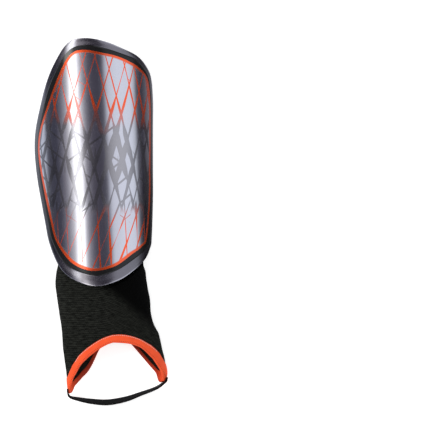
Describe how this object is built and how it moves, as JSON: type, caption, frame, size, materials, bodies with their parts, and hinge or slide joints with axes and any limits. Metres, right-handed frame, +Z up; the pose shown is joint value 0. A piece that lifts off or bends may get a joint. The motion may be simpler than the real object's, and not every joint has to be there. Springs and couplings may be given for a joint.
{
  "type": "soccer shin guard with ankle sleeve",
  "caption": "Curved hard shin plate on a foam liner with a back strap, a knitted ankle sleeve with a bound hem and a stirrup under the foot, laid on its back.",
  "frame": {"origin": "middle of the guard's bounding box on the surface it lies on", "axes": "+Y along the shin towards the knee, +X towards the plate's straight side, +Z up, out of the front of the shin"},
  "size_m": [0.1266, 0.3462, 0.0448],
  "materials": {
    "shell": "metallic silver film with an orange and grey printed lattice, glossy",
    "foam": "moulded foam, satin",
    "elastic": "ribbed black elastic",
    "tab": "stiff black patch with a stitched border",
    "knit": "fine ribbed black knit",
    "binding": "orange folded binding with stitching"
  },
  "bodies": {
    "root": {"shell": "shell", "foam_liner": "foam", "strap_elastic_left": "elastic", "strap_elastic_right": "elastic", "strap_tab": "tab", "ankle_sleeve": "knit", "hem_binding": "binding", "stirrup": "elastic"}
  },
  "joints": []
}
